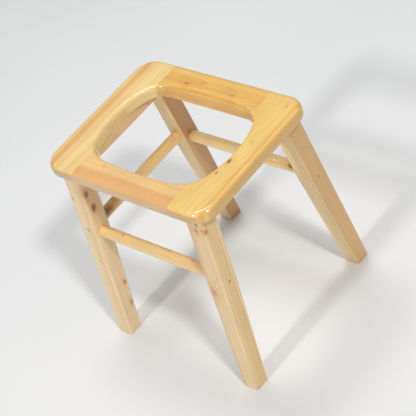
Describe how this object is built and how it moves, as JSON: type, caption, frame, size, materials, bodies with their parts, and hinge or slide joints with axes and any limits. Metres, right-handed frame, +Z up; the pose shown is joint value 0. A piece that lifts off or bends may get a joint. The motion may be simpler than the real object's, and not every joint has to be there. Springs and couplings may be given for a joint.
{
  "type": "commode stool",
  "caption": "Lacquered pine toilet stool: a rounded seat frame with an oval opening on splayed square legs, with round stretchers and an open front for a pot.",
  "frame": {"origin": "on the floor under the middle of the seat", "axes": "+X from the left leg pair to the right leg pair, +Y from the open front (the side without a stretcher) to the back, +Z up"},
  "size_m": [0.3416, 0.367, 0.4],
  "materials": {
    "seat_pine": "glossy clear lacquer over pale pine, grain along the board",
    "rail_pine": "glossy clear lacquer over warmer pine, grain along the rail",
    "leg_pine": "satin clear lacquer over pale pine, grain along the leg, small knots",
    "stretcher_pine": "satin clear lacquer over turned pine",
    "apron_pine": "satin clear lacquer over planed pine",
    "screw_steel": "dull zinc-plated steel",
    "nail_steel": "dark bare steel",
    "dowel_wood": "plain unfinished hardwood"
  },
  "bodies": {
    "root": {"seat_board_front": "seat_pine", "seat_board_back": "seat_pine", "seat_rail_left": "rail_pine", "seat_rail_right": "rail_pine", "leg_front_left": "leg_pine", "leg_front_right": "leg_pine", "leg_back_left": "leg_pine", "leg_back_right": "leg_pine", "stretcher_left": "stretcher_pine", "stretcher_right": "stretcher_pine", "stretcher_back": "stretcher_pine", "apron_front": "apron_pine", "apron_back": "apron_pine", "stretcher_nails": "nail_steel", "stretcher_screws": "screw_steel", "apron_screws": "screw_steel", "seat_screws": "screw_steel", "seat_dowels": "dowel_wood", "leg_dowels": "dowel_wood"}
  },
  "joints": []
}
